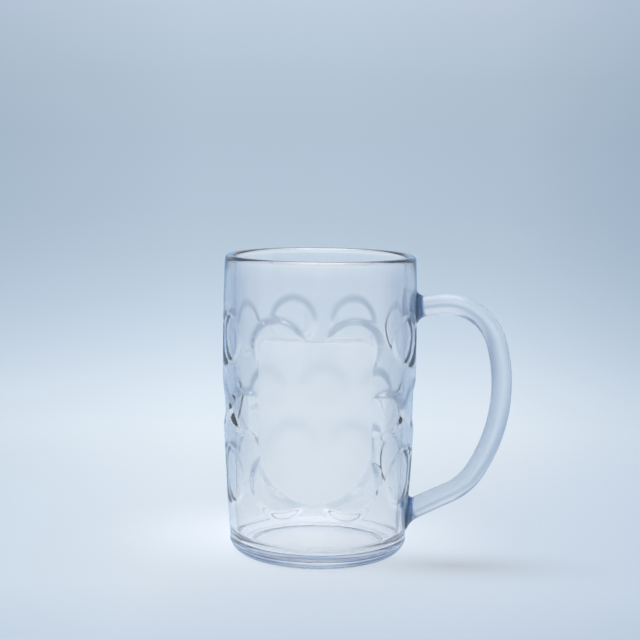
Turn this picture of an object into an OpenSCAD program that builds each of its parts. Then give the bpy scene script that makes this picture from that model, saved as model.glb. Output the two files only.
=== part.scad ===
// Clear plastic beer mug: a barrelled tumbler with three rows of pressed eyes and a flush shield
// panel on the front, and a round D-shaped handle welded to its side on two pegged feet.
// Millimetres, +Z up, front towards -Y, handle towards +X, origin on the table under the mug's axis.

/* [Tumbler] */
// Outer diameter across the rim
rim_d = 86; // [70:0.5:110]
// Height from the table to the top of the rim
height = 135; // [100:0.5:180]
// Wall thickness at the rim
wall = 4.2; // [3.4:0.1:6]
// How far the belly stands out beyond the rim, on the radius
belly_out = 0.75; // [0.3:0.05:2]
// How far the wall draws in from the rim to the foot, on the radius
foot_in = 3.1; // [1.5:0.1:6]
// How far the inside draws in from the rim to the floor, on the radius
bore_in = 2; // [0.5:0.1:4]
// Thickness of the floor
floor_t = 6; // [4:0.5:12]
// Radius between floor and inside wall
floor_round = 6; // [3:0.5:12]
// How far the round lip stands out from the wall under it
lip_bead = 0.12; // [0.08:0.01:0.4]

/* [Foot] */
// Height of the foot ring
foot_h = 5.4; // [4:0.2:10]
// How far the foot ring stands out from the wall above it
foot_step = 0.4; // [0.2:0.1:1.5]
// Rounding of the lower edge of the foot
foot_round = 6.8; // [3:0.2:9]
// Depth of the hollow under the floor
hollow_depth = 1.2; // [0.6:0.1:2.5]
// Width of the ring the mug stands on
stand_w = 3; // [2:0.2:8]

/* [Eyes] */
// Eyes in each row
eye_count = 8; // [6:1:10]
// Plain wall from the rim down to the top row
eye_drop = 24.4; // [16:0.2:30]
// Plain wall from the table up to the bottom row
eye_rise = 23.8; // [16:0.2:30]
// Wall between the top and middle rows
top_gap = 8.3; // [4:0.1:12]
// Wall between the middle and bottom rows
low_gap = 6.4; // [3:0.1:12]
// Height of the top row against the others; the rows share the wall that the gaps leave
top_part = 23.7; // [18:0.1:32]
// Height of the middle row against the others
mid_part = 20.7; // [16:0.1:30]
// Height of the bottom row against the others
low_part = 27.7; // [20:0.1:36]
// Depth of the top and bottom eyes
eye_depth = 0.65; // [0.4:0.05:1.2]
// Depth of the middle eyes
mid_depth = 0.9; // [0.4:0.05:1.2]
// Width of an eye between its upright sides
eye_w = 25; // [20:0.5:27]
// Arch radius at the ends of the top eyes, over half their height
top_swell = 2.55; // [0.5:0.05:6]
// Arch radius at the ends of the middle eyes, over half their height
mid_swell = 4.85; // [0.5:0.05:8]
// Arch radius at the ends of the bottom eyes, over half their height
low_swell = 1.55; // [0.5:0.05:6]
// Run of the drafted edge for each millimetre of depth
edge_run = 0.6; // [0.3:0.05:0.9]

/* [Shield] */
// Width of the shield
shield_w = 49; // [36:0.5:56]
// Plain wall from the rim down to its upper edge
shield_drop = 34; // [26:0.5:44]
// Height of its lowest point over the table
shield_rise = 30.6; // [24:0.2:40]
// Radius of the two upper corners
shield_corner = 5; // [2:0.5:9]

/* [Handle] */
// Diameter of the round grip at its roots
grip_d = 9.4; // [7:0.1:13]
// Reach of the grip beyond the rim, to its outermost point
grip_reach = 44; // [36:0.5:56]
// Distance from the rim down to the middle of the upper root
grip_drop = 23; // [18:0.5:30]
// Height of the middle of the lower root over the table
grip_rise = 18.1; // [16:0.1:24]
// Level run of the grip from the wall to the upper bend
grip_stub = 10; // [8:0.5:16]
// Radius of the lower bend
low_bend = 26; // [16:0.5:34]
// Radius of the hollow flare at each root
flare_round = 15; // [12:0.5:24]
// Length of the flare along the grip
flare_run = 5; // [3:0.5:7]
// How much slimmer the grip gets at each bend towards its middle, on the radius
grip_slim = 0.06; // [0.05:0.01:0.4]
// How far one length of the grip laps into the next
grip_lap = 0.8; // [0.5:0.1:1]

/* [Fits] */
// Diameter of the pegs under the handle's feet
peg_d = 5; // [3:0.1:7]
// How deep a peg stands in the wall
peg_l = 1.7; // [1:0.1:2.2]
// Clearance of a peg in its socket, and of a foot on the wall
peg_fit = 0.05; // [0.02:0.01:0.2]

/* [Hidden] */
$fn = 96;
fine = 240;

rim_r = rim_d / 2;
bore_r = rim_r - wall;
lip_r = wall / 2 + lip_bead;
lip_z = height - lip_r;
belly_r = rim_r + belly_out;

eye_step = 360 / eye_count;
row_wall = height - eye_drop - eye_rise - top_gap - low_gap;
row_parts = top_part + mid_part + low_part;
top_tall = row_wall * top_part / row_parts;
mid_tall = row_wall * mid_part / row_parts;
low_tall = row_wall * low_part / row_parts;
low_eye_z = eye_rise + low_tall / 2;
mid_eye_z = eye_rise + low_tall + low_gap + mid_tall / 2;
top_eye_z = height - eye_drop - top_tall / 2;

// The outside follows one arc from the foot ring over the belly to the rim, in five tapers that
// meet above and below the rows of eyes.
belly_ratio = sqrt((belly_out + foot_in) / belly_out);
barrel_rise = (lip_z - foot_h) / (1 + belly_ratio);
barrel_arc = (pow(barrel_rise, 2) + pow(belly_out, 2)) / (2 * belly_out);
belly_z = lip_z - barrel_rise;
function arc_r(z) = belly_r - barrel_arc + sqrt(pow(barrel_arc, 2) - pow(z - belly_z, 2));
band_gap = 3;
bands = [
    foot_h,
    eye_rise - band_gap,
    eye_rise + low_tall + low_gap / 2,
    top_eye_z - (top_tall + top_gap) / 2,
    height - eye_drop + band_gap,
    lip_z
];
function band_slope(i) = (arc_r(bands[i + 1]) - arc_r(bands[i])) / (bands[i + 1] - bands[i]);
function band_of(z) = len([for (b = bands) if (b < z) b]) - 1;
function barrel_r(z) = arc_r(bands[band_of(z)]) + band_slope(band_of(z)) * (z - bands[band_of(z)]);
function barrel_tilt(z) = -atan(band_slope(band_of(z)));

// The inside is one taper from the rim to the floor.
function inside_r(z) = bore_r - bore_in * (lip_z - z) / (lip_z - floor_t);
corner_z = floor_t + floor_round;
corner_r = inside_r(corner_z);
corner_ease = 0.3;
foot_r = barrel_r(foot_h + foot_step) + foot_step;
hollow_r = foot_r - foot_round - stand_w - hollow_depth;

eye_room = 0.6;
eye_dip = 4;

shield_top = height - shield_drop;
shield_mid = shield_rise + shield_w / 2;

// The grip leaves the upper root, runs through three tangent bends and ends straight at the lower
// root. Angles are headings in the XZ plane. The two large radii and the straight end follow from
// the roots and the reach, which are linear in them.
head_top = 8;
head_upper = -74;
head_lower = -123;
head_low = -154;
grip_r = grip_d / 2;
top_z = height - grip_drop;
low_z = grip_rise;
top_x = barrel_r(top_z);
low_x = barrel_r(low_z);
reach_x = rim_r + grip_reach - grip_r;
bend_x = top_x + grip_stub * cos(head_top);
bend_z = top_z + grip_stub * sin(head_top);
function turn(a, b) = [sin(a) - sin(b), cos(b) - cos(a)];
turn_upper = turn(head_top, head_upper);
turn_outer = turn(head_upper, head_lower);
turn_lower = turn(head_lower, head_low) * low_bend;
row_reach = [turn_upper[0], sin(head_upper) + 1, 0];
row_x = [turn_upper[0], turn_outer[0], cos(head_low)];
row_z = [turn_upper[1], turn_outer[1], sin(head_low)];
goal = [reach_x - bend_x, low_x - bend_x - turn_lower[0], low_z - bend_z - turn_lower[1]];
whole = row_reach * cross(row_x, row_z);
runs = (goal[0] * cross(row_x, row_z) + goal[1] * cross(row_z, row_reach)
    + goal[2] * cross(row_reach, row_x)) / whole;
upper_bend = runs[0];
outer_bend = runs[1];
low_run = runs[2];
from_upper = [bend_x, bend_z];
from_outer = from_upper + turn_upper * upper_bend;
from_lower = from_outer + turn_outer * outer_bend;
flare_dip = 4.5;
flare_steps = 3;
function flare_r(s) = grip_r + flare_round - sqrt(pow(flare_round, 2) - pow(flare_run - s, 2));
root_turn = 130;

// Region inside the outer wall, from the foot ring to the rim, grown by a clearance or less a depth.
module barrel_section(grow = 0) {
    polygon([
        [0, lip_z],
        [0, foot_h],
        for (z = bands) [arc_r(z) + grow, z]
    ]);
}

// Region of the foot ring with its rounded lower edge.
module foot_section() {
    intersection() {
        square([foot_r, foot_h]);
        union() {
            square([foot_r - foot_round, foot_h]);
            translate([foot_r - foot_round, foot_round]) circle(r = foot_round);
            translate([0, foot_round]) square([foot_r, foot_h]);
        }
    }
}

// Region of the drink: the taper of the inside wall down to the flat floor, its corner rounded.
module drink_section() {
    difference() {
        polygon([
            [0, floor_t],
            [inside_r(floor_t), floor_t],
            [inside_r(height), height],
            [0, height]
        ]);
        difference() {
            translate([corner_r - floor_round, floor_t - 1]) square([rim_r, floor_round + 1]);
            translate([corner_r - floor_round, corner_z]) circle(r = floor_round + corner_ease);
        }
    }
}

// Half section of the tumbler: outside less inside, the hollow underneath and the round lip.
module tumbler_section() {
    difference() {
        union() {
            barrel_section();
            foot_section();
        }
        drink_section();
        polygon([
            [0, -1],
            [hollow_r + hollow_depth + 1, -1],
            [hollow_r, hollow_depth],
            [0, hollow_depth]
        ]);
    }
    translate([bore_r + wall / 2, lip_z]) circle(r = lip_r);
}

// Block that presses one eye, square to the wall: two arched ends with drafted edges, upright sides.
module eye(z, tall, swell) {
    arch = tall / 2 + swell;
    translate([barrel_r(z), 0, z]) rotate([0, -barrel_tilt(z), 0]) intersection() {
        arch_cone(swell, arch);
        arch_cone(-swell, arch);
        cube([3 * eye_dip, eye_w, 2 * tall], center = true);
    }
}
// Cone of the drafted edge round one arch of an eye.
module arch_cone(rise, arch) {
    translate([-eye_dip, 0, rise]) rotate([0, 90, 0]) cylinder(
        r1 = arch - eye_dip * edge_run,
        r2 = arch + eye_room * edge_run,
        h = eye_dip + eye_room,
        $fn = fine
    );
}

// Outline of the shield panel, and the block of wall that stays full behind it.
module shield_outline() {
    rise = shield_top - shield_mid;
    half = shield_w / 2;
    circle(r = half, $fn = fine);
    translate([-half, 0]) square([shield_w, rise - shield_corner]);
    translate([shield_corner - half, 0]) square([shield_w - 2 * shield_corner, rise]);
    for (side = [-1, 1]) {
        translate([side * (half - shield_corner), rise - shield_corner]) circle(r = shield_corner);
    }
}
module shield_block() {
    translate([0, 0, shield_mid]) rotate([90, 0, 0])
        linear_extrude(height = rim_d) shield_outline();
}

// A row of eyes round the wall, their floors following it. Those that meet the shield end at its edge.
module eye_row(z, tall, depth, swell, first) {
    reach = eye_w / 2;
    difference() {
        for (i = [0 : eye_count - 1]) {
            turned = first + i * eye_step;
            off = barrel_r(z) * abs(sin(turned));
            front = cos(turned) > 0;
            if (!front || off - reach > shield_w / 2) {
                rotate([0, 0, turned - 90]) eye(z, tall, swell);
            } else if (off + reach > shield_w / 2) {
                difference() {
                    rotate([0, 0, turned - 90]) eye(z, tall, swell);
                    shield_block();
                }
            }
        }
        rotate_extrude($fn = fine) barrel_section(-depth);
    }
}

// Frame of a root: its own Z runs out of the wall along the grip.
module at_top_root() {
    translate([top_x, 0, top_z]) rotate([0, 90 - head_top, 0]) children();
}
module at_low_root() {
    translate([low_x, 0, low_z]) rotate([0, 90 - head_low - 180, 0]) children();
}

// Straight length of grip with its hollow flare towards the wall, in a few tapers along an arc.
module root_length(run) {
    rotate([0, 0, root_turn]) rotate_extrude($fn = fine) polygon([
        [0, run],
        [0, -flare_dip],
        for (i = [0 : flare_steps]) [
            flare_r(flare_run - (flare_run + flare_dip) * (1 - i / flare_steps)),
            flare_run - (flare_run + flare_dip) * (1 - i / flare_steps)
        ],
        [grip_r, run]
    ]);
}

// One bend of the grip, starting at a point with a heading and turning clockwise. It is a little
// slimmer than the lengths it laps into, at its start, at its end or at both.
module bend(from, a, b, radius, slim, lap_in, lap_out) {
    lap = grip_lap / radius * 180 / PI;
    translate([from[0] + radius * sin(a), 0, from[1] - radius * cos(a)])
        rotate([90, 0, 0]) rotate([0, 0, b + 90 - lap_out * lap])
            rotate_extrude(angle = a - b + (lap_in + lap_out) * lap, $fn = fine)
                translate([radius, 0]) circle(r = grip_r - slim);
}

// Tumbler: wall, rim, eyes, shield, floor and foot, with a blind socket for each peg.
module body() {
    color([0.80, 0.88, 0.95]) difference() {
        rotate_extrude($fn = fine) tumbler_section();
        eye_row(top_eye_z, top_tall, eye_depth, top_swell, eye_step / 2);
        eye_row(mid_eye_z, mid_tall, mid_depth, mid_swell, 0);
        eye_row(low_eye_z, low_tall, eye_depth, low_swell, eye_step / 2);
        at_top_root() translate([0, 0, -peg_l - peg_fit]) cylinder(d = peg_d + 2 * peg_fit, h = 3 * peg_l);
        at_low_root() translate([0, 0, -peg_l - peg_fit]) cylinder(d = peg_d + 2 * peg_fit, h = 3 * peg_l);
    }
}

// Handle: round grip in one D-shaped sweep, flared feet that follow the wall, a peg under each.
module handle() {
    color([0.86, 0.91, 0.96]) {
        difference() {
            union() {
                at_top_root() root_length(grip_stub);
                bend(from_upper, head_top, head_upper, upper_bend, grip_slim, 1, 0);
                bend(from_outer, head_upper, head_lower, outer_bend, 2 * grip_slim, 1, 1);
                bend(from_lower, head_lower, head_low, low_bend, grip_slim, 0, 1);
                at_low_root() root_length(low_run);
            }
            rotate([0, 0, 180]) rotate_extrude($fn = fine) barrel_section(peg_fit);
        }
        at_top_root() translate([0, 0, -peg_l]) cylinder(d = peg_d, h = peg_l + flare_run);
        at_low_root() translate([0, 0, -peg_l]) cylinder(d = peg_d, h = peg_l + flare_run);
    }
}

body();
handle();
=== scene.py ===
"""Looks of a clear plastic beer mug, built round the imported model.

The tumbler and the handle are each one smooth skin worked out by formula, in place of the CAD's
tapers: a clear moulding shows every small change of slope. Sizes are millimetres of the real mug,
in the model's own frame: Z up, the shield towards -Y, the handle towards +X.
"""
import math

import bmesh
import bpy
import numpy as np
from mathutils import Matrix, Vector


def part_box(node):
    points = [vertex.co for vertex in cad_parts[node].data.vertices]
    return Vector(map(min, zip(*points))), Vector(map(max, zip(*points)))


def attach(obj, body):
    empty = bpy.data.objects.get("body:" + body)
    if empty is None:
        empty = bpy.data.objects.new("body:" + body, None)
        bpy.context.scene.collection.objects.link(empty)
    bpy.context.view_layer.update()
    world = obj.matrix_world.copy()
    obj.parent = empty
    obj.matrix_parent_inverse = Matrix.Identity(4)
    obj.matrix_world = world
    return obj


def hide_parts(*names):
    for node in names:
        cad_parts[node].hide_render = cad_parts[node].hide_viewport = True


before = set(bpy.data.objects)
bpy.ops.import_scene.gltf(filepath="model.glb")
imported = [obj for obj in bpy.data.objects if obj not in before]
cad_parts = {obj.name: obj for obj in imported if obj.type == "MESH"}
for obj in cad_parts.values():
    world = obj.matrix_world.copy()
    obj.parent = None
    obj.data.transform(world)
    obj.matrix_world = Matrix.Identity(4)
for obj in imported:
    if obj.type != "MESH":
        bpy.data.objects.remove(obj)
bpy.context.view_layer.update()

MM = 0.001
BODY_HIGH = np.array(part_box("body")[1]) / MM
HANDLE_HIGH = np.array(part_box("handle")[1]) / MM

# Tumbler: the outside is one arc from the foot over the belly to the rim.
HEIGHT = BODY_HIGH[2]
SKIN_INSET = 0.02
BELLY_R = BODY_HIGH[1] - SKIN_INSET
BELLY_OUT = 0.75
FOOT_IN = 3.1
WALL = 4.2
LIP_BEAD = 0.05
LIP_R = WALL / 2 + LIP_BEAD
LIP_Z = HEIGHT - LIP_R
RIM_R = BELLY_R - BELLY_OUT
BORE_R = RIM_R - WALL
BORE_IN = 2.0
FLOOR_T = 6.0
FLOOR_ROUND = 6.0

# Foot ring and the hollow inside it. The ring eases into the wall over a short rise.
FOOT_H = 5.4
FOOT_STEP = 0.4
FOOT_ROUND = 6.8
STAND_W = 3.0
HOLLOW_DEPTH = 1.2
FOOT_EASE = 0.4
WALL_FROM = 0.7

# Eyes: three rows, the middle one staggered. Each is a shallow panel pressed into the wall, with arched
# ends and upright sides. Its edge fades softly into the wall and ends crisply on its floor. The fade is a
# power of the way in from the edge, and the upright sides fall more steeply than the ends.
EYE_STEP = 360 / 8
EYE_FADE = 1.5
EYE_SIDE = 1.7
EYE_SOFT = 3.0
EYE_ROWS = (
    {"low": 86.0, "top": 111.6, "half": 15.2, "depth": 0.65, "run": 2.8, "arch": 14.6, "turn": 22.5},
    {"low": 57.0, "top": 79.5, "half": 15.2, "depth": 0.85, "run": 3.4, "arch": 15.5, "turn": 0.0},
    {"low": 22.8, "top": 52.5, "half": 15.2, "depth": 0.65, "run": 2.8, "arch": 15.6, "turn": 22.5},
)

# Shield: flush with the wall, square at the top, round below. Its edge slopes down to the eyes beside it,
# more steeply near the top. Mesh points closer to the outline than the snap count as lying on it.
SHIELD_HALF = 24.5
SHIELD_TOP = 101.0
SHIELD_MID = 55.1
SHIELD_CORNER = 5.0
SHIELD_EDGES = (0.16, 0.33)
SHIELD_TURN = (12.0, 4.0)
SHIELD_SOFT = 0.2
NO_SHIELD = 9
SHIELD_ROUGH = 0.24
SHIELD_SNAP = 0.08
OUTSIDE_R = 40.0

# Handle: headings in degrees in the XZ plane, from the upper root round to the lower one. Its feet flare
# hollow to the wall and follow it. The weld is the ring of plastic next to the wall, tinted blue as painted
# shade.
GRIP_R = 4.7
GRIP_WAIST = 0.12
WAIST_RUN = 30
GRIP_STUB = 10.0
LOW_BEND = 26.0
HEADINGS = (8.0, -74.0, -123.0, -154.0)
TOP_ROOT_Z = 112.0
LOW_ROOT_Z = 18.1
FLARE_ROUND = 4.5
FLARE_RUN = 4.2
WELD_SHADE_RUN = 2.6
SEAT_RUN = 9.0
SEAT_PASSES = 6
ROOT_SINK = 0.8

# Mesh: columns round each piece, rows along each stretch of the tumbler, and steps along the grip.
COLUMNS = 384
FLAT_ROWS = 10
HOLLOW_ROWS = 7
FOOT_ROWS = 14
STEP_ROWS = 6
WALL_ROWS = 170
LIP_ROWS = 17
BORE_ROWS = 20
CORNER_ROWS = 11
GRIP_COLUMNS = 72
GRIP_STEP = 0.5

# The photograph: camera height and distance from the mug's axis, in millimetres, and its angles.
IMAGE_SIDE = 640
CAMERA_FOCUS = 1450
CAMERA_AWAY = 648.7
CAMERA_UP = 186.8
CAMERA_TURN = 2.6
CAMERA_PITCH = 7.16
CAMERA_ROLL = 0.65


def linear(hex_colour):
    """Linear RGBA of an sRGB hex colour."""
    shares = [int(hex_colour[i:i + 2], 16) / 255 for i in (1, 3, 5)]
    return [s / 12.92 if s <= 0.04045 else ((s + 0.055) / 1.055) ** 2.4 for s in shares] + [1.0]


def add(tree, kind, links=None, values=None, **settings):
    """Add a node with its settings, input values and incoming links."""
    node = tree.nodes.new(kind)
    for name, value in settings.items():
        setattr(node, name, value)
    for name, value in (values or {}).items():
        node.inputs[name].default_value = value
    for name, socket in (links or {}).items():
        tree.links.new(socket, node.inputs[name])
    return node


def barrel_r(z):
    """Radius of the plain outside at a height."""
    ratio = math.sqrt((BELLY_OUT + FOOT_IN) / BELLY_OUT)
    rise = (LIP_Z - FOOT_H) / (1 + ratio)
    arc = (rise ** 2 + BELLY_OUT ** 2) / (2 * BELLY_OUT)
    return BELLY_R - arc + np.sqrt(arc ** 2 - (z - (LIP_Z - rise)) ** 2)


def bore_r(z):
    """Radius of the inside: an arc that stands upright at the rim."""
    fall = LIP_Z - FLOOR_T
    arc = (fall ** 2 + BORE_IN ** 2) / (2 * BORE_IN)
    return BORE_R - arc + np.sqrt(arc ** 2 - (LIP_Z - z) ** 2)


def smaller(a, b, soft):
    """The smaller of two heights, with the crease between them rounded."""
    share = np.clip(0.5 + 0.5 * (b - a) / soft, 0, 1)
    return b * (1 - share) + a * share - soft * share * (1 - share)


def larger(a, b, soft):
    """The larger of two heights, with the crease between them rounded."""
    return -smaller(-a, -b, soft)


def past_eye(across, up, row):
    """Distance past the arched ends and upright sides of an eye, negative inside."""
    spring = (row["top"] - row["low"]) / 2 - row["arch"]
    ends = np.maximum(np.hypot(across, up - spring), np.hypot(across, up + spring)) - row["arch"]
    return larger(ends, EYE_SIDE * (np.abs(across) - row["half"]), EYE_SOFT)


def past_shield(across, z):
    """Distance past the outline of the shield, negative inside."""
    side = np.abs(across) - (SHIELD_HALF - SHIELD_CORNER)
    over = z - (SHIELD_TOP - SHIELD_CORNER)
    square = np.hypot(np.maximum(side, 0), np.maximum(over, 0)) - SHIELD_CORNER
    square += np.minimum(np.maximum(side, over), 0)
    return np.where(z < SHIELD_MID, np.hypot(across, z - SHIELD_MID) - SHIELD_HALF, square)


def pressed_r(turn, z):
    """Radius of the outside with its eyes and shield, at angles from the front and one height."""
    plain = np.full_like(turn, barrel_r(z))
    press = np.zeros_like(turn)
    for row in EYE_ROWS:
        up = z - (row["low"] + row["top"]) / 2
        if abs(up) > row["top"] - row["low"]:
            continue
        away = np.radians((turn - row["turn"] + EYE_STEP / 2) % EYE_STEP - EYE_STEP / 2)
        share = np.clip(-past_eye(plain * np.sin(away), up, row) / row["run"], 0, 1)
        press = np.maximum(press, row["depth"] * share ** EYE_FADE)
    front = np.cos(np.radians(turn)) > 0
    past = past_shield(plain * np.sin(np.radians(turn)), z)
    edge = np.interp(z, (SHIELD_TOP - SHIELD_TURN[0], SHIELD_TOP - SHIELD_TURN[1]), SHIELD_EDGES)
    free = np.where(front, edge * np.maximum(past, 0), NO_SHIELD)
    return plain - np.clip(smaller(press, free, SHIELD_SOFT), 0, None)


def tumbler_rings(turn):
    """Rings of the skin from the middle of the underside, up the outside and down into the drink."""
    rings = []

    def ring(radius, z):
        rings.append((np.broadcast_to(radius, turn.shape), z))

    foot_r = float(barrel_r(FOOT_H)) + FOOT_STEP
    hollow_r = foot_r - FOOT_ROUND - STAND_W - HOLLOW_DEPTH
    for radius in np.linspace(0, hollow_r, FLAT_ROWS):
        ring(radius, HOLLOW_DEPTH)
    for share in np.linspace(0, 1, HOLLOW_ROWS)[1:]:
        ring(hollow_r + HOLLOW_DEPTH * share, HOLLOW_DEPTH * (0.5 + 0.5 * math.cos(math.pi * share)))
    for a in np.linspace(0, math.acos(1 - FOOT_H / FOOT_ROUND), FOOT_ROWS):
        ring(foot_r + FOOT_ROUND * (math.sin(a) - 1), FOOT_ROUND * (1 - math.cos(a)))
    over = rings[-1][0]
    for share in np.linspace(0, 1, STEP_ROWS)[1:]:
        z = FOOT_H + FOOT_EASE * share
        ring(over + (barrel_r(z) - over) * (0.5 - 0.5 * math.cos(math.pi * share)), z)
    for z in np.linspace(FOOT_H + WALL_FROM, LIP_Z, WALL_ROWS):
        ring(pressed_r(turn, z), z)
    lip_out, lip_in = float(barrel_r(LIP_Z)), BORE_R
    for a in np.radians(np.linspace(0, 180, LIP_ROWS))[1:]:
        ring((lip_out + lip_in) / 2 + (lip_out - lip_in) / 2 * math.cos(a), LIP_Z + LIP_R * math.sin(a))
    for z in np.linspace(LIP_Z, FLOOR_T + FLOOR_ROUND, BORE_ROWS)[1:]:
        ring(float(bore_r(z)), z)
    corner_r = float(bore_r(FLOOR_T + FLOOR_ROUND)) - FLOOR_ROUND
    for a in np.radians(np.linspace(0, 90, CORNER_ROWS))[1:]:
        ring(corner_r + FLOOR_ROUND * math.cos(a), FLOOR_T + FLOOR_ROUND * (1 - math.sin(a)))
    for radius in np.linspace(corner_r, 0, FLAT_ROWS)[1:]:
        ring(radius, FLOOR_T)
    return rings


def skin(name, points, closed_ends=False):
    """A smooth closed mesh over a grid of points in millimetres: rows along it, columns round it."""
    rows, columns, _ = points.shape
    index = np.arange(rows * columns).reshape(rows, columns)
    beside = np.roll(index, -1, axis=1)
    quads = np.stack([index[:-1], beside[:-1], beside[1:], index[1:]], axis=-1).reshape(-1, 4)
    faces = quads.tolist()
    if closed_ends:
        faces += [index[0].tolist()[::-1], index[-1].tolist()]
    mesh = bpy.data.meshes.new(name)
    mesh.from_pydata((points.reshape(-1, 3) * MM).tolist(), [], faces)
    shape = bmesh.new()
    shape.from_mesh(mesh)
    bmesh.ops.remove_doubles(shape, verts=shape.verts, dist=1e-7)
    bmesh.ops.recalc_face_normals(shape, faces=shape.faces)
    for face in shape.faces:
        face.smooth = len(face.verts) < 5
    shape.to_mesh(mesh)
    shape.free()
    piece = bpy.data.objects.new(name, mesh)
    bpy.context.scene.collection.objects.link(piece)
    return piece


def off_shield(places):
    """Distance of mesh points past the shield's outline on the outside of the wall, negative on it."""
    x, y, z = np.array(places).T / MM
    return np.where((y < 0) & (np.hypot(x, y) > OUTSIDE_R), past_shield(x, z), SHIELD_HALF)


def cut_shield(mesh):
    """Cut the skin along the shield's outline, so that its satin ends on a clean edge."""
    shape = bmesh.new()
    shape.from_mesh(mesh)
    past = off_shield([vert.co for vert in shape.verts])
    past[np.abs(past) < SHIELD_SNAP] = 0
    outline = [vert for vert in shape.verts if past[vert.index] == 0]
    for edge in list(shape.edges):
        a, b = (past[vert.index] for vert in edge.verts)
        if a * b < 0:
            outline.append(bmesh.utils.edge_split(edge, edge.verts[0], a / (a - b))[1])
    bmesh.ops.connect_verts(shape, verts=outline)
    inside = off_shield([face.calc_center_median() for face in shape.faces]) < 0
    for face, satin_face in zip(shape.faces, inside):
        face.material_index = int(satin_face)
    shape.to_mesh(mesh)
    shape.free()


def make_tumbler():
    """The tumbler's skin, with the polished plastic first and the satin shield second."""
    turn = np.linspace(0, 360, COLUMNS, endpoint=False)
    rings = tumbler_rings(turn)
    radius = np.array([r for r, _ in rings])
    height = np.array([np.full(turn.shape, z) for _, z in rings])
    angle = np.radians(turn)
    points = np.stack([radius * np.sin(angle), -radius * np.cos(angle), height], axis=-1)
    piece = skin("tumbler", points)
    cut_shield(piece.data)
    return piece


def turning(a, b):
    """Step, for a bend of radius 1, from heading a clockwise to heading b."""
    return np.array([math.sin(a) - math.sin(b), math.cos(b) - math.cos(a)])


def grip_path():
    """Points and headings along the middle of the grip, every half millimetre."""
    top, upper, lower, low = (math.radians(h) for h in HEADINGS)
    start = np.array([float(barrel_r(TOP_ROOT_Z)), TOP_ROOT_Z])
    end = np.array([float(barrel_r(LOW_ROOT_Z)), LOW_ROOT_Z])
    reach = HANDLE_HIGH[0] - GRIP_R + GRIP_WAIST
    along = np.array([math.cos(top), math.sin(top)])
    bend = start + GRIP_STUB * along
    low_turn = turning(lower, low) * LOW_BEND
    sums = np.array([
        [turning(top, upper)[0], math.sin(upper) + 1, 0],
        [turning(top, upper)[0], turning(upper, lower)[0], math.cos(low)],
        [turning(top, upper)[1], turning(upper, lower)[1], math.sin(low)],
    ])
    goal = np.array([reach - bend[0], *(end - bend - low_turn)])
    upper_bend, outer_bend, low_run = np.linalg.solve(sums, goal)
    points, headings = [], []
    for s in np.arange(-ROOT_SINK, GRIP_STUB, GRIP_STEP):
        points.append(start + s * along)
        headings.append(top)
    here = bend
    for a, b, radius in ((top, upper, upper_bend), (upper, lower, outer_bend), (lower, low, LOW_BEND)):
        for heading in np.linspace(a, b, max(2, round((a - b) * radius / GRIP_STEP)), endpoint=False):
            points.append(here + turning(a, heading) * radius)
            headings.append(heading)
        here = here + turning(a, b) * radius
    along = np.array([math.cos(low), math.sin(low)])
    for s in np.arange(0, low_run + ROOT_SINK, GRIP_STEP):
        points.append(here + s * along)
        headings.append(low)
    return np.array(points), np.array(headings)


def make_handle():
    """The grip with feet that follow the wall; the grained plastic first, the weld with its painted shade
    second.
    """
    path, headings = grip_path()
    steps = np.linalg.norm(np.diff(path, axis=0), axis=1)
    run = np.concatenate([[0], np.cumsum(steps)])
    from_root = np.minimum(run, run[-1] - run) - ROOT_SINK
    flare = np.clip(FLARE_RUN - np.maximum(from_root, 0), 0, None)
    radius = GRIP_R + FLARE_ROUND - np.sqrt(FLARE_ROUND ** 2 - flare ** 2)
    radius -= GRIP_WAIST * np.clip((from_root - FLARE_RUN) / WAIST_RUN, 0, 1)
    around = np.radians(np.linspace(0, 360, GRIP_COLUMNS, endpoint=False))
    out = np.stack([-np.sin(headings), np.zeros_like(headings), np.cos(headings)], axis=-1)
    middle = np.stack([path[:, 0], np.zeros(len(path)), path[:, 1]], axis=-1)
    side = np.array([0.0, 1.0, 0.0])
    points = middle[:, None] + radius[:, None, None] * (
        np.cos(around)[None, :, None] * out[:, None] + np.sin(around)[None, :, None] * side)
    for root in (0, -1):
        along = np.array([math.cos(headings[root]), 0, math.sin(headings[root])])
        shift = np.zeros(len(around))
        for _ in range(SEAT_PASSES):
            foot = points[root] + shift[:, None] * along
            gap = barrel_r(foot[:, 2]) - ROOT_SINK - np.hypot(foot[:, 0], foot[:, 1])
            shift += gap / along[0]
        far = run if root == 0 else run[-1] - run
        share = np.clip(1 - far / SEAT_RUN, 0, 1) ** 2
        points += share[:, None, None] * shift[None, :, None] * along
    piece = skin("grip", points, closed_ends=True)
    # The ring of faces next to the wall takes the second material, whose blue tint is painted shade at the
    # roots.
    for face in piece.data.polygons:
        x, y, z = face.center / MM
        if math.hypot(x, y) < float(barrel_r(z)) + WELD_SHADE_RUN:
            face.material_index = 1
    return piece


# Clear SAN: a high gloss from its index, a painted blue sheen at its edges in place of the light of inner
# reflections, a faint blue in its depth, and flow ripples a finger's width long that bend what is seen
# through the wall. Ripples in millimetres.
SAN_IOR = 1.57
PAINTED_EDGE_SHEEN = "#6db0e6"
PAINTED_SHEEN_WEIGHT = 0.9
PAINTED_SHEEN_ROUGH = 0.25
DEPTH_BLUE = "#cfe0f4"
DEPTH_DENSITY = 6.0
RIPPLE = 14.0
RIPPLE_RISE = 0.05
RIPPLE_STRENGTH = 0.1


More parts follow.
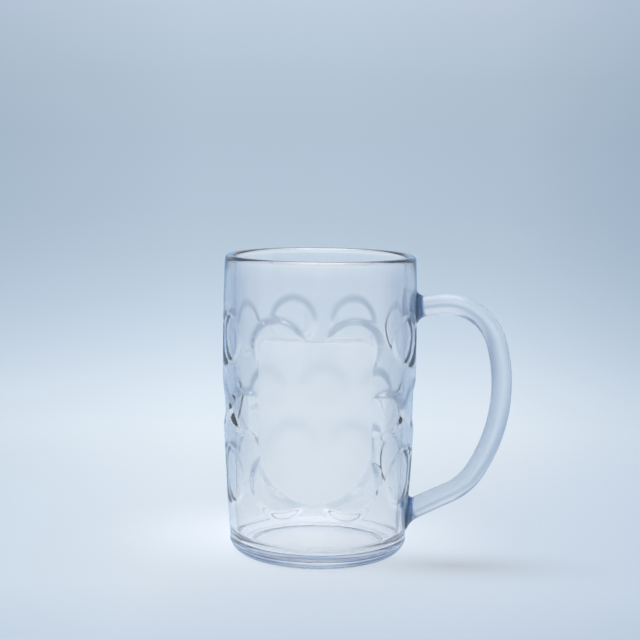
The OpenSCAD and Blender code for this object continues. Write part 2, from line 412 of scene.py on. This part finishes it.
def clear_san(name, roughness, haze, tint="#ffffff"):
    """Moulded clear SAN. Roughness blurs what is seen through it, and haze is the share that looks milky.

    Only the polished plastic takes on the blue of its depth.
    """
    material = bpy.data.materials.new(name)
    material.use_nodes = True
    tree = material.node_tree
    shader = tree.nodes["Principled BSDF"]
    shader.inputs["Base Color"].default_value = linear(tint)
    shader.inputs["Roughness"].default_value = roughness
    shader.inputs["IOR"].default_value = SAN_IOR
    shader.inputs["Transmission Weight"].default_value = 1 - haze
    # Painted sheen: a blue glow at grazing angles, in place of the light of inner reflections.
    shader.inputs["Sheen Weight"].default_value = PAINTED_SHEEN_WEIGHT
    shader.inputs["Sheen Roughness"].default_value = PAINTED_SHEEN_ROUGH
    shader.inputs["Sheen Tint"].default_value = linear(PAINTED_EDGE_SHEEN)
    place = add(tree, "ShaderNodeTexCoord")
    ripple = add(tree, "ShaderNodeTexNoise", {"Vector": place.outputs["Object"]},
                 {"Scale": 1 / (RIPPLE * MM), "Detail": 1.0})
    bump = add(tree, "ShaderNodeBump", {"Height": ripple.outputs["Fac"]},
               {"Strength": RIPPLE_STRENGTH, "Distance": RIPPLE_RISE * MM})
    tree.links.new(bump.outputs["Normal"], shader.inputs["Normal"])
    if not roughness:
        depth = add(tree, "ShaderNodeVolumeAbsorption",
                    values={"Color": linear(DEPTH_BLUE), "Density": DEPTH_DENSITY})
        tree.links.new(depth.outputs["Volume"], tree.nodes["Material Output"].inputs["Volume"])
    return material


# Backdrop: colour by the height of the view, as the sine of its angle over the table. It falls off
# to both sides of the mug. A soft box hangs overhead between dark blue sides, which show as navy lines in
# the rim and the edges of the plastic.
BACKDROP = (
    (-1.0, "#d2deeb"), (-0.28, "#d9e4ef"), (-0.24, "#dee8f2"), (-0.196, "#e3eef7"),
    (-0.17, "#dde9f4"), (-0.14, "#d0deec"), (-0.11, "#c3d4e4"),
    (-0.08, "#baccdc"), (-0.05, "#b4c6d7"), (0.0, "#b1c3d4"), (0.04, "#b4c6d5"),
    (0.094, "#c0cedf"), (0.14, "#e3ebf4"), (0.2, "#fafcff"), (1.0, "#ffffff"),
)
SIDES = (
    (-1.0, "#93a8cc"), (-0.9, "#b4c4dc"), (-0.6, "#d3dce8"), (-0.26, "#f0f2f5"), (-0.13, "#ffffff"),
    (-0.03, "#ffffff"), (0.08, "#f9f9fa"), (0.18, "#e5e9ee"), (0.6, "#d3dce8"), (0.9, "#b4c4dc"),
    (1.0, "#93a8cc"),
)
OVERHEAD = (
    (-1.0, "#27437c"), (-0.4, "#4a6aa6"), (-0.25, "#ffffff"), (0.25, "#ffffff"), (0.4, "#4a6aa6"),
    (1.0, "#27437c"),
)
OVERHEAD_FROM = (0.25, 0.45)
SOFT_BOX = (0.86, 0.94, 3.0)

# Table: colour by the distance behind the mug's axis, in millimetres, with the same fall-off; its bands and
# fall-off are painted light and shade. In front of the mug, out of the picture, a white band of painted light
# lies on the table, and behind the mug the table fades into the backdrop.
TABLE = (
    (-1500.0, "#c4d2e2"), (-500.0, "#f0f6fc"), (-190.0, "#f6faff"), (-130.0, "#cbd8e7"),
    (-60.0, "#d8e3ee"), (90.0, "#dee8f2"), (180.0, "#e2ebf4"), (300.0, "#e9f0f7"),
)
TABLE_SIDES = (
    (-1500.0, "#b4c4dc"), (-260.0, "#e0e9ef"), (-150.0, "#f3f7fa"), (-70.0, "#ffffff"), (60.0, "#f8f9fb"),
    (190.0, "#e1e8f1"), (1500.0, "#b4c4dc"),
)
TABLE_FADE = (60.0, 300.0)
TABLE_LOW = (-3, -6)
TABLE_HIGH = (3, 0.3)
TABLE_MATT = 0.25
# Painted on the table: the light that the mug gathers round its foot, and the soft shadow on its right.
# Each has its middle and reach in millimetres, its tone and its largest share.
SPOT_COLOUR = "#f2f8ff"
POOL = ((-8.0, 20.0), (115.0, 95.0), 1.4, 0.95)
SHADE = ((62.0, -24.0), (85.0, 30.0), 0.38, 0.55)


def fade(tree, value, stops):
    """Colour ramp over a value that runs from the first stop to the last."""
    low, high = stops[0][0], stops[-1][0]
    share = add(tree, "ShaderNodeMapRange", {"Value": value}, {"From Min": low, "From Max": high})
    ramp = add(tree, "ShaderNodeValToRGB", {"Fac": share.outputs["Result"]})
    ends = ramp.color_ramp.elements
    for stop, (_, colour) in zip((ends[0], ends[1]), (stops[0], stops[-1])):
        stop.color = linear(colour)
    for place, colour in stops[1:-1]:
        ends.new((place - low) / (high - low)).color = linear(colour)
    return ramp.outputs["Color"]


def light_studio():
    """Plain white light, and a pale blue backdrop for what looks at it or through the plastic."""
    world = bpy.data.worlds.new("studio")
    bpy.context.scene.world = world
    world.use_nodes = True
    tree = world.node_tree
    plain = tree.nodes["Background"]
    plain.inputs["Color"].default_value = linear("#ffffff")
    view = add(tree, "ShaderNodeTexCoord")
    part = add(tree, "ShaderNodeSeparateXYZ", {"Vector": view.outputs["Generated"]})
    above = add(tree, "ShaderNodeMapRange", {"Value": part.outputs["Z"]},
                {"From Min": OVERHEAD_FROM[0], "From Max": OVERHEAD_FROM[1]}, interpolation_type="SMOOTHSTEP")
    across = add(tree, "ShaderNodeMix", {"Factor": above.outputs["Result"],
                                         "A": fade(tree, part.outputs["X"], SIDES),
                                         "B": fade(tree, part.outputs["X"], OVERHEAD)}, data_type="RGBA")
    colour = add(tree, "ShaderNodeMix", {"A": fade(tree, part.outputs["Z"], BACKDROP),
                                         "B": across.outputs["Result"]},
                 {"Factor": 1.0}, data_type="RGBA", blend_type="MULTIPLY")
    box = add(tree, "ShaderNodeMapRange", {"Value": part.outputs["Z"]},
              {"From Min": SOFT_BOX[0], "From Max": SOFT_BOX[1], "To Min": 1.0, "To Max": SOFT_BOX[2]},
              interpolation_type="SMOOTHSTEP")
    seen = add(tree, "ShaderNodeBackground", {"Color": colour.outputs["Result"],
                                              "Strength": box.outputs["Result"]})
    ray = add(tree, "ShaderNodeLightPath")
    looks = add(tree, "ShaderNodeMath", {0: ray.outputs["Is Camera Ray"], 1: ray.outputs["Is Glossy Ray"]},
                operation="MAXIMUM")
    looks = add(tree, "ShaderNodeMath", {0: looks.outputs["Value"], 1: ray.outputs["Is Transmission Ray"]},
                operation="MAXIMUM")
    both = add(tree, "ShaderNodeMixShader", {0: looks.outputs["Value"], 1: plain.outputs["Background"],
                                            2: seen.outputs["Background"]})
    tree.links.new(both.outputs["Shader"], tree.nodes["World Output"].inputs["Surface"])


def lay_table():
    """Pale acrylic table lit from below: mostly its own glow, painted with light and shade, with a matt share
    for the mug's cast shadow.
    """
    mesh = bpy.data.meshes.new("table")
    (left, near), (right, back) = TABLE_LOW, TABLE_HIGH
    corners = [(left, near, 0), (right, near, 0), (right, back, 0), (left, back, 0)]
    mesh.from_pydata(corners, [], [(0, 1, 2, 3)])
    table = bpy.data.objects.new("table", mesh)
    bpy.context.scene.collection.objects.link(table)
    material = bpy.data.materials.new("lit_acrylic_sheet")
    material.use_nodes = True
    tree = material.node_tree
    place = add(tree, "ShaderNodeTexCoord")
    part = add(tree, "ShaderNodeSeparateXYZ", {"Vector": place.outputs["Object"]})
    along = fade(tree, part.outputs["Y"], [(y * MM, c) for y, c in TABLE])
    across = fade(tree, part.outputs["X"], [(x * MM, c) for x, c in TABLE_SIDES])
    colour = add(tree, "ShaderNodeMix", {"A": along, "B": across}, {"Factor": 1.0}, data_type="RGBA",
                 blend_type="MULTIPLY").outputs["Result"]
    lit = colour
    # Painted light and shade on the table: a pool of light round the foot and a soft shadow on its right.
    for (x, y), (wide, deep), tone, most in (POOL, SHADE):
        spot = add(tree, "ShaderNodeMapping", {"Vector": place.outputs["Object"]},
                   {"Location": (-x / wide, -y / deep, 0), "Scale": (1 / (wide * MM), 1 / (deep * MM), 1)})
        soft = add(tree, "ShaderNodeTexGradient", {"Vector": spot.outputs["Vector"]},
                   gradient_type="QUADRATIC_SPHERE")
        share = add(tree, "ShaderNodeMath", {0: soft.outputs["Fac"]}, {1: most}, operation="MULTIPLY")
        lit = add(tree, "ShaderNodeMix", {"Factor": share.outputs["Value"], "A": lit},
                  {"B": [tone * c for c in linear(SPOT_COLOUR)]}, data_type="RGBA").outputs["Result"]
    glow = add(tree, "ShaderNodeEmission", {"Color": lit})
    matt = add(tree, "ShaderNodeBsdfDiffuse", {"Color": colour})
    both = add(tree, "ShaderNodeMixShader", {1: glow.outputs["Emission"], 2: matt.outputs["BSDF"]},
               {0: TABLE_MATT})
    far = add(tree, "ShaderNodeMapRange", {"Value": part.outputs["Y"]},
              {"From Min": TABLE_FADE[0] * MM, "From Max": TABLE_FADE[1] * MM},
              interpolation_type="SMOOTHSTEP")
    open_end = add(tree, "ShaderNodeBsdfTransparent")
    swept = add(tree, "ShaderNodeMixShader", {0: far.outputs["Result"], 1: both.outputs["Shader"],
                                             2: open_end.outputs["BSDF"]})
    tree.links.new(swept.outputs["Shader"], tree.nodes["Material Output"].inputs["Surface"])
    mesh.materials.append(material)


def place_camera():
    """Camera of the photograph, looking at the mug from the front."""
    lens = bpy.data.cameras.new("camera")
    lens.sensor_width = 36
    lens.lens = lens.sensor_width * CAMERA_FOCUS / IMAGE_SIDE
    lens.clip_start = 0.01
    camera = bpy.data.objects.new("camera", lens)
    bpy.context.scene.collection.objects.link(camera)
    turn = math.radians(CAMERA_TURN)
    place = Vector((CAMERA_AWAY * math.sin(turn), -CAMERA_AWAY * math.cos(turn), CAMERA_UP)) * MM
    camera.matrix_world = (Matrix.Translation(place) @ Matrix.Rotation(turn, 4, "Z")
                           @ Matrix.Rotation(math.radians(90 - CAMERA_PITCH), 4, "X")
                           @ Matrix.Rotation(math.radians(CAMERA_ROLL), 4, "Z"))
    bpy.context.scene.camera = camera


place_camera()
# Polished wall: what stands behind it is seen sharply. Satin shield: milky, with the eyes behind it only
# hinted at. Grained handle: soft and pale. Welded feet: a blue tint, painted shade where the handle meets the
# wall.
polished = clear_san("moulded_clear_san", 0.0, 0.045)
satin = clear_san("satin_pressed_san", SHIELD_ROUGH, 0.36, "#fafdff")
grained = clear_san("grained_san", 0.2, 0.26, "#eff7ff")
weld_shade = clear_san("weld_painted_shade_san", 0.15, 0.06, "#86a8d0")
for piece, node in ((make_tumbler(), "body"), (make_handle(), "handle")):
    for material in ((polished, satin) if node == "body" else (grained, weld_shade)):
        piece.data.materials.append(material)
    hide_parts(node)
    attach(piece, "root")
light_studio()
lay_table()
bpy.context.scene.view_settings.view_transform = "Standard"
